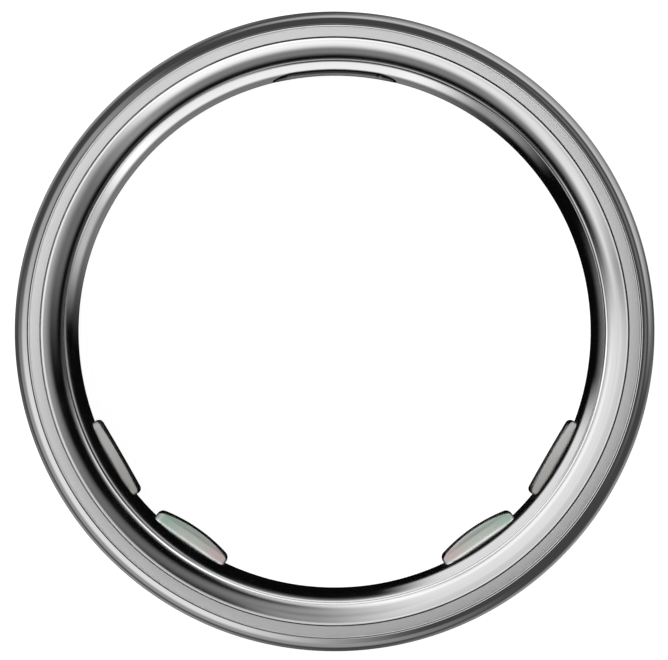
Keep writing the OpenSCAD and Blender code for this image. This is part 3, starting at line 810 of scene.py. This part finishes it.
# %% Turn the sleeve and the side rings
SHOULDER_STEPS, SEAM_STEPS, RING_STEPS = 28, 4, 5
SHOULDER_SLOPE = -14
SHOULDER_R = SHELL_ROUND / (1 + sin_deg(SHOULDER_SLOPE))
shoulder_centre = (SHELL_OUT_R - SHOULDER_R, BAND_W - SHOULDER_R * cos_deg(SHOULDER_SLOPE))
SEAM_EDGE_R = 0.015 * MM
seam_centre = (SHELL_IN_R + SEAM_EDGE_R, BAND_W - 2 * SEAM_EDGE_R)
shoulder = arc(shoulder_centre, SHOULDER_R, SHOULDER_SLOPE, -90, SHOULDER_STEPS)
shell_front = (
    [(SHELL_IN_R, BAND_W - 2 * SEAM_EDGE_R)]
    + arc(seam_centre, SEAM_EDGE_R, 90, -SHOULDER_SLOPE, SEAM_STEPS)[1:-1]
    + [point for point in shoulder if point[0] > seam_centre[0]]
)
shell = tidy(turn_piece("polished_sleeve", shell_front + mirrored(shell_front), polished))

GROOVE_INSET, GROOVE_HALF, GROOVE_DEPTH = 0.02 * MM, 0.014 * MM, 0.012 * MM
GROOVE_R = RING_OUT_R - LAND_W - GROOVE_INSET
LAND_DROP = 0.003 * MM
EDGE_R = 0.02 * MM
ring_section = (
    [(RING_IN_R, RING_LOW)]
    + arc((RING_IN_R + EDGE_R, BAND_W - EDGE_R), EDGE_R, 90, 0, RING_STEPS)
    + [
        (GROOVE_R - GROOVE_HALF, BAND_W),
        (GROOVE_R, BAND_W - GROOVE_DEPTH),
        (GROOVE_R + GROOVE_HALF, BAND_W - LAND_DROP),
    ]
    + arc((RING_OUT_R - EDGE_R, BAND_W - EDGE_R), EDGE_R, 0, -90, RING_STEPS)
    + [(RING_OUT_R, RING_LOW)]
)
front_ring = tidy(turn_piece("satin_front_ring", ring_section, satin))
rear_ring = tidy(turn_piece("satin_rear_ring", mirrored(ring_section), satin))

# %% [markdown]
# ## The four lenses
# A lens is a moulded block. Its top is crowned both ways and rolls over into the sides, tighter at the
# ends. That is a rule as well: the height over a point is the crown there, plus what the rounded edge
# takes away, which depends only on how far the point lies inside the outline. So the outline is drawn
# again and again, each time a step further in. The lenses aren't mirrored in the metal: in the
# photograph the bore beside them shows the studio and no second picture of a lens.

# %% Mould a lens
ROUND_STEPS, CROWN_STEPS, SIDE_STEPS, RIM_STEPS = 10, 10, 14, 12


def drop(distance, radius):
    return radius - math.sqrt(radius * radius - distance * distance)


def crowned(loop, across_r, along_r):
    return [(x, z, drop(x, across_r) + drop(z, along_r)) for x, z in loop]


def lens_levels(top, across_r, along_r):
    levels = [(TROUGH_R + GAP, outline(LENS_W, SHOWN_L, LENS_CORNER, SIDE_STEPS))]
    for i in range(ROUND_STEPS + 1):
        angle = 90 * i / ROUND_STEPS
        inset = LENS_ROUND * (1 - cos_deg(angle))
        rolled = LENS_ROUND * (1 - sin_deg(angle))
        shown = SHOWN_L - 2 * inset * END_ROUND_SHARE
        loop = outline(LENS_W - 2 * inset, shown, LENS_CORNER - inset, SIDE_STEPS)
        levels.append((top + rolled, crowned(loop, across_r, along_r)))
    rim_loop = levels[-1][1]
    for i in range(1, CROWN_STEPS):
        share = 1 - i / CROWN_STEPS
        smaller = [(p[0] * share, p[1] * share) for p in rim_loop]
        levels.append((top, crowned(smaller, across_r, along_r)))
    return levels


def rim_plate(turn, width, length):
    """The curved plate behind the liner that holds a window."""
    half = width / 2 + SEAL_T + RIM_PLATE_W
    vertices, faces = [], []
    for i in range(RIM_STEPS + 1):
        x = -half + 2 * half * i / RIM_STEPS
        for r in (TROUGH_R + GAP / 2, TROUGH_R + RIM_PLATE_T):
            y = math.sqrt(r * r - x * x)
            for z in (-length / 2, length / 2):
                vertices.append(at_turn(turn, x, y, z))
    for a in range(0, 4 * RIM_STEPS, 4):
        b = a + 4
        faces += [(a, b, b + 1, a + 1), (a + 2, a + 3, b + 3, b + 2)]
        faces += [(a, a + 2, b + 2, b), (a + 1, b + 1, b + 3, a + 3)]
    faces += [(0, 1, 3, 2), (b, b + 2, b + 3, b + 1)]
    return tidy(mesh_object("rim", vertices, faces))


def mould_lens(name, turn, height, across_r, along_r):
    levels = lens_levels(CREST_R - height, across_r, along_r)
    piece = stack("clear_" + name, levels, turn, lens_finishes[name])
    cut_with(piece, rim_plate(turn, LENS_W, SHOWN_L), "UNION")
    pocket = outline(LENS_W - 2 * POCKET_WALL, WINDOW_L - 2 * POCKET_WALL, LENS_CORNER)
    cut_with(piece, punch(pocket, turn, POCKET_R))
    piece.visible_glossy = False
    return tidy(piece, SHARP_MILLED)


FLAT = (0.42 * MM, 80 * MM, 40 * MM)
DOMED = (0.64 * MM, 6.4 * MM, 40 * MM)
lenses = {
    name: mould_lens(name, turn, *(FLAT if name.startswith("upper") else DOMED))
    for name, turn in LENS_TURNS.items()
}

# %% [markdown]
# ### The charging window
# This window is bent to the bore, so it starts as a turned hoop. The outline cuts it out of the hoop,
# and a pocket for the coil is milled into its back.

# %% Cut out the charging window
hoop_half, hoop_out = WINDOW_L, TROUGH_R + RIM_PLATE_T / 2
hoop_section = [
    (CREST_R, MID - hoop_half),
    (CREST_R, MID + hoop_half),
    (hoop_out, MID + hoop_half),
    (hoop_out, MID - hoop_half),
]
charge_plate = tidy(turn_piece("grey_charging_window", hoop_section, finishes["window_grey"]))
cut_with(charge_plate, punch(charge_outline, 0), "INTERSECT")
cut_with(charge_plate, rim_plate(0, CHARGE_W, CHARGE_SHOWN_L), "UNION")
coil_pocket = outline(CHARGE_W - POCKET_WALL, WINDOW_L - POCKET_WALL, CHARGE_CORNER - POCKET_WALL / 2)
cut_with(charge_plate, punch(coil_pocket, 0, POCKET_R))
tidy(charge_plate, SHARP_MILLED)

# %% Let the new pieces stand for their nodes
stand_ins = {
    "outer_shell": (shell, "polished_metal"),
    "front_side_ring": (front_ring, "satin_metal"),
    "rear_side_ring": (rear_ring, "satin_metal"),
    "inner_liner": (liner, "polished_metal"),
    "charging_window": (charge_plate, "window_grey"),
}
stand_ins.update({name: (piece, "lens_clear") for name, piece in lenses.items()})
stand_ins.update({name: (piece, "seal_black") for name, piece in seals.items()})
for node, (piece, slot) in stand_ins.items():
    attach(piece, "root")
    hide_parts(node)
print("pieces that stand for nodes:", len(stand_ins))

# %% [markdown]
# ## The studio
# A mirror finish shows the studio more than itself. This one is plain: a pale floor, a white world, and
# a light tent with soft white windows in dark cloth. The tent and the dark cards by the ring are there
# for reflections only, as a photographer's flags are, and the camera never sees them.

# %% Floor and world
FLOOR_GLOW, FLOOR_SHADE, ROOM_LIGHT = 0.88, 0.42, 0.55
FLOOR_R, FLOOR_LEVEL = 1500 * MM, -0.02 * MM
DISC_STEPS = 180


def seen_ray(tree):
    """1 for a ray from the camera, or by way of metal or glass, and 0 for the others."""
    path = place(tree, "ShaderNodeLightPath").outputs
    total = math_node(tree, "ADD", path["Is Camera Ray"], path["Is Glossy Ray"])
    total = math_node(tree, "ADD", total, path["Is Transmission Ray"])
    return math_node(tree, "MINIMUM", total, 1.0)


def circle(radius, height, steps):
    turns = [2 * math.pi * i / steps for i in range(steps)]
    return [(radius * math.cos(t), radius * math.sin(t), height) for t in turns]


def walls(circles, steps):
    """The faces between each circle of points and the next."""
    faces = []
    for start in range(0, (circles - 1) * steps, steps):
        for i in range(steps):
            a, b = start + i, start + (i + 1) % steps
            faces.append((a, a + steps, b + steps, b))
    return faces


def disc(name, inner, outer, height, finish):
    vertices = circle(inner, height, DISC_STEPS) + circle(outer, height, DISC_STEPS)
    made = mesh_object(name, vertices, walls(2, DISC_STEPS), finish)
    return made


def bare_material(name):
    made = bpy.data.materials.new(name)
    made.use_nodes = True
    made.node_tree.nodes.clear()
    return made, made.node_tree


floor_finish, tree = bare_material("pale floor")
shade = place(tree, "ShaderNodeBsdfDiffuse", {"Color": (FLOOR_SHADE,) * 3 + (1,)})
level = math_node(tree, "MULTIPLY", seen_ray(tree), FLOOR_GLOW)
glow = place(tree, "ShaderNodeEmission", {"Strength": level})
both = place(tree, "ShaderNodeAddShader", {0: shade.outputs[0], 1: glow.outputs[0]})
clear = place(tree, "ShaderNodeBsdfTransparent")
below = place(tree, "ShaderNodeNewGeometry").outputs["Backfacing"]
top_only = place(tree, "ShaderNodeMixShader", {0: below, 1: both.outputs[0], 2: clear.outputs[0]})
place(tree, "ShaderNodeOutputMaterial", {"Surface": top_only.outputs[0]})
disc("floor", 0.0, FLOOR_R, FLOOR_LEVEL, floor_finish)

world = bpy.data.worlds.new("white room")
bpy.context.scene.world = world
world.use_nodes = True
tree = world.node_tree
backdrop = tree.nodes["Background"]
backdrop.inputs["Color"].default_value = (1, 1, 1, 1)
tree.links.new(between(tree, seen_ray(tree), ROOM_LIGHT, 1.0), backdrop.inputs["Strength"])
print("floor and world made")

# %% [markdown]
# ### Light tent
# The tent is a half sphere. A window in it is a patch in two angles: the clock direction round the
# camera's axis, clockwise from the top, and the angle off that axis. One node group makes a window with
# soft edges, and a table lists the windows, each row in the order of WINDOW_LABELS. The same group lays
# out the other cloths near the ring, with a distance from the axis or a height, in millimetres, in place
# of the second angle.

# %% Soft windows
WINDOW_LABELS = ("Middle", "Half width", "Side softness", "From", "To", "Softness", "Brightness")
soft_window, given, made = new_tree(
    "soft window",
    "ShaderNodeTree",
    [(label, "NodeSocketFloat", 0.0) for label in ("Clock", "Off axis", *WINDOW_LABELS)],
    [("Light", "NodeSocketFloat")],
)


def soft_step(tree, value, start, end):
    values = {"Value": value, "From Min": start, "From Max": end}
    return place(tree, "ShaderNodeMapRange", values, interpolation_type="SMOOTHSTEP").outputs[0]


def soft_edge(value, edge, softness, first, second):
    """A soft step of a value at an edge, between the edge moved one way and the other."""
    ends = [math_node(soft_window, move, given[edge], given[softness]) for move in (first, second)]
    return soft_step(soft_window, value, *ends)


apart = math_node(soft_window, "SUBTRACT", given["Clock"], given["Middle"])
apart = math_node(soft_window, "ABSOLUTE", math_node(soft_window, "WRAP", apart, 180.0, -180.0))
side = soft_edge(apart, "Half width", "Side softness", "ADD", "SUBTRACT")
rise = soft_edge(given["Off axis"], "From", "Softness", "SUBTRACT", "ADD")
fall = soft_edge(given["Off axis"], "To", "Softness", "ADD", "SUBTRACT")
patch = math_node(soft_window, "MULTIPLY", side, math_node(soft_window, "MULTIPLY", rise, fall))
soft_window.links.new(math_node(soft_window, "MULTIPLY", patch, given["Brightness"]), made["Light"])


def lit_cloth(name, base, windows, measure):
    """An emitting stage material: a base level plus soft windows."""
    cloth, tree = bare_material(name)
    point = axes(tree)
    clock = math_node(tree, "DEGREES", math_node(tree, "ARCTAN2", point["X"], point["Y"]))
    second = point["Z"] if measure == "height" else flat_distance(tree, point)
    if measure == "angle":
        second = math_node(tree, "DEGREES", math_node(tree, "ARCTAN2", second, point["Z"]))
    total = base
    for values in windows:
        inputs = {"Clock": clock, "Off axis": second} | dict(zip(WINDOW_LABELS, map(float, values)))
        patch = place(tree, "ShaderNodeGroup", inputs, node_tree=soft_window)
        total = math_node(tree, "ADD", total, patch.outputs[0])
    glow = place(tree, "ShaderNodeEmission", {"Strength": total})
    place(tree, "ShaderNodeOutputMaterial", {"Surface": glow.outputs[0]})
    cloth.cycles.emission_sampling = "NONE"
    return cloth


def reflection_only(made):
    for ray in ("camera", "diffuse", "transmission", "volume_scatter", "shadow"):
        setattr(made, "visible_" + ray, False)


# %% Hang the tent
EVERY_WAY = 400
TENT_WINDOWS = [
    (0, EVERY_WAY, 1, -20, 5, 1, 0.52),
    (0, EVERY_WAY, 1, 5, 10.5, 1.5, 0.88),
    (306, 46, 14, 10, 28, 4, 0.92),
    (306, 46, 14, 28, 46, 4, 0.55),
    (310, 50, 14, 46, 68, 4, 0.88),
    (194, 58, 12, 10, 28, 6, 1.00),
    (240, 20, 12, 28, 36, 5, 0.60),
    (190, 62, 12, 28, 46, 6, 0.28),
    (0, 16, 8, 9, 24, 5, 0.38),
    (0, 20, 10, 50, 70, 4, 0.70),
    (118, 24, 15, 24, 46, 5, 0.20),
    (42, 38, 10, 56, 92, 5, 0.65),
]
TENT_BASE = 0.004
TENT_R = 600 * MM
STEPS_ROUND, STEPS_UP = 96, 48
tent_points = []
for j in range(1, STEPS_UP + 1):
    off_axis = 90 * j / STEPS_UP
    tent_points += circle(TENT_R * sin_deg(off_axis), TENT_R * cos_deg(off_axis), STEPS_ROUND)
tent_faces = walls(STEPS_UP, STEPS_ROUND) + [tuple(range(STEPS_ROUND))]
tent_cloth = lit_cloth("light tent", TENT_BASE, TENT_WINDOWS, "angle")
tent = mesh_object("light_tent", tent_points, tent_faces, tent_cloth)
reflection_only(tent)

# %% [markdown]
# ### Cards on the floor
# Just above the floor lie two dark cards, one inside the ring and one round it. They turn the steepest
# parts of the metal dark, which is what gives a polished ring its crisp edges on white.

# %% Lay the cards
CARD_HEIGHT = 0.02 * MM
INNER_CARD_R, OUTER_CARD_FROM, OUTER_CARD_TO = 10.3 * MM, 12.45 * MM, 60 * MM
INNER_BASE, OUTER_BASE = 0.003, 0.05
INNER_CARD = [
    (345, 40, 10, -1, 6.5, 0.5, 1.25),
    (335, 55, 15, 6.5, 9.6, 0.5, 0.22),
    (296, 16, 10, 1.5, 6.4, 0.8, 0.7),
    (135, 28, 8, -1, 6.2, 0.4, 1.05),
    (240, 28, 10, -1, 3.2, 1.0, 0.6),
    (180, 18, 10, -1, 3.5, 1.2, 0.4),
    (90, 16, 10, -1, 4.8, 1.5, 0.2),
    (33, 14, 8, 2, 6.3, 1.0, 0.40),
]
inner_cloth = lit_cloth("inner card", INNER_BASE, INNER_CARD, "distance")
reflection_only(disc("inner_card", 0.0, INNER_CARD_R, CARD_HEIGHT, inner_cloth))
OUTER_CARD = [
    (40, 55, 15, 26, 90, 5, 0.45),
    (150, 60, 20, 16, 90, 2, 0.25),
    (215, 40, 20, 17, 90, 2, 0.2),
]
outer_cloth = lit_cloth("outer card", OUTER_BASE, OUTER_CARD, "distance")
reflection_only(disc("outer_card", OUTER_CARD_FROM, OUTER_CARD_TO, CARD_HEIGHT, outer_cloth))
print("tent windows:", len(TENT_WINDOWS), "card windows:", len(INNER_CARD) + len(OUTER_CARD))

# %% [markdown]
# ### Collar and near softbox
# A dark collar of cloth stands close round the ring. The rounded edge of the sleeve looks into it, while
# the bevel on the opposite side looks over it into the tent, so the two can be lit apart. Its lowest
# windows shade the outside of the sleeve, for the views from the sides. Above the ring, to the upper
# left, hangs a small softbox that lights the satin side ring unevenly, as in the photograph.

# %% Stand the collar and hang the softbox
COLLAR_R, COLLAR_LOW, COLLAR_TOP, COLLAR_BASE = 14.5 * MM, 0.1 * MM, 22.5 * MM, 0.08
COLLAR_WINDOWS = [
    (230, 46, 24, 7.8, 15, 0.5, 1.05),
    (300, 20, 15, 8.1, 16, 0.4, 0.35),
    (215, 55, 20, 6.3, 7.8, 0.3, 0.35),
    (38, 50, 18, 6.3, 7.3, 0.25, 0.65),
    (45, 40, 18, 5.2, 6.3, 0.3, 0.45),
    (75, 35, 15, 8.1, 9.0, 0.3, 0.16),
    (132, 30, 20, 2, 5.2, 1.0, 0.35),
    (222, 28, 20, 2, 5.2, 1.0, 0.35),
    (312, 28, 20, 2, 5.2, 1.0, 0.35),
    (42, 28, 20, 2, 5.2, 1.0, 0.30),
    (335, 65, 15, 14.3, 21.5, 0.6, 1.3),
    (48, 22, 12, 14.3, 21.5, 0.6, 1.0),
    (185, 35, 15, 15, 19, 0.6, 0.5),
    (258, 22, 10, 15.5, 20, 0.5, 0.9),
]
collar_points = circle(COLLAR_R, COLLAR_TOP, STEPS_ROUND) + circle(COLLAR_R, COLLAR_LOW, STEPS_ROUND)
collar_cloth = lit_cloth("collar", COLLAR_BASE, COLLAR_WINDOWS, "height")
collar = mesh_object("collar", collar_points, walls(2, STEPS_ROUND), collar_cloth)
reflection_only(collar)

BOX_MIDDLE, BOX_HEIGHT, BOX_SHEET_R = (-9, 8, 0), 30 * MM, 30 * MM
BOX_R, BOX_EDGE, BOX_LIGHT = 11, 4, 0.60
softbox_cloth, tree = bare_material("near softbox")
offset = place(tree, "ShaderNodeVectorMath", {0: millimetres(tree), 1: BOX_MIDDLE}, operation="SUBTRACT")
point = axes(tree, offset.outputs[0])
patch = soft_step(tree, flat_distance(tree, point), BOX_R + BOX_EDGE, BOX_R - BOX_EDGE)
light = place(tree, "ShaderNodeEmission", {"Strength": math_node(tree, "MULTIPLY", patch, BOX_LIGHT)})
clear = place(tree, "ShaderNodeBsdfTransparent")
both = place(tree, "ShaderNodeAddShader", {0: light.outputs[0], 1: clear.outputs[0]})
place(tree, "ShaderNodeOutputMaterial", {"Surface": both.outputs[0]})
softbox_cloth.cycles.emission_sampling = "NONE"
reflection_only(disc("near_softbox", 0.0, BOX_SHEET_R, BOX_HEIGHT, softbox_cloth))

# %% [markdown]
# ### Lamp
# The metal is lit by the cloths alone. A broad soft lamp at the upper left lights what isn't metal, and
# lays the ring's faint shadow on the floor. It stays out of the reflections.

# %% Set the lamp
LAMP_AT, LAMP_SIZE, LAMP_WATTS = Vector((-0.25, 0.2, 0.35)), 0.25, 0.9
lamp_data = bpy.data.lights.new("soft_lamp", "AREA")
lamp_data.shape = "DISK"
lamp_data.size = LAMP_SIZE
lamp_data.energy = LAMP_WATTS
lamp = bpy.data.objects.new("soft_lamp", lamp_data)
bpy.context.scene.collection.objects.link(lamp)
lamp.location = LAMP_AT
lamp.rotation_euler = (Vector((0, 0, MID)) - LAMP_AT).to_track_quat("-Z", "Y").to_euler()
lamp.visible_glossy = False
lamp.visible_camera = False

# %% [markdown]
# ## Camera
# The photograph looks straight down the axis with a long lens, so the camera stands far above the ring
# and sees the band's face without any taper. It is moved sideways by a few hundredths of a millimetre to
# put the ring where the photograph has it.

# %% Set the camera
PIXEL = 0.03855 * MM
IMAGE_W, IMAGE_H = 668, 660
RING_X, RING_Y = 334.6, 331.4
LENS_MM, SENSOR_MM = 1500, 36
camera_data = bpy.data.cameras.new("camera")
camera_data.type = "PERSP"
camera_data.sensor_width = SENSOR_MM
camera_data.lens = LENS_MM
camera_data.clip_start = 0.05
camera_data.clip_end = 10
camera = bpy.data.objects.new("camera", camera_data)
bpy.context.scene.collection.objects.link(camera)
distance = LENS_MM * IMAGE_W * PIXEL / SENSOR_MM
camera.location = (
    (IMAGE_W / 2 - RING_X) * PIXEL,
    (RING_Y - IMAGE_H / 2) * PIXEL,
    BAND_W - SHELL_ROUND + distance,
)
bpy.context.scene.camera = camera
bpy.context.scene.view_settings.view_transform = "Standard"
print("camera", round(distance, 3), "m above the front edge")
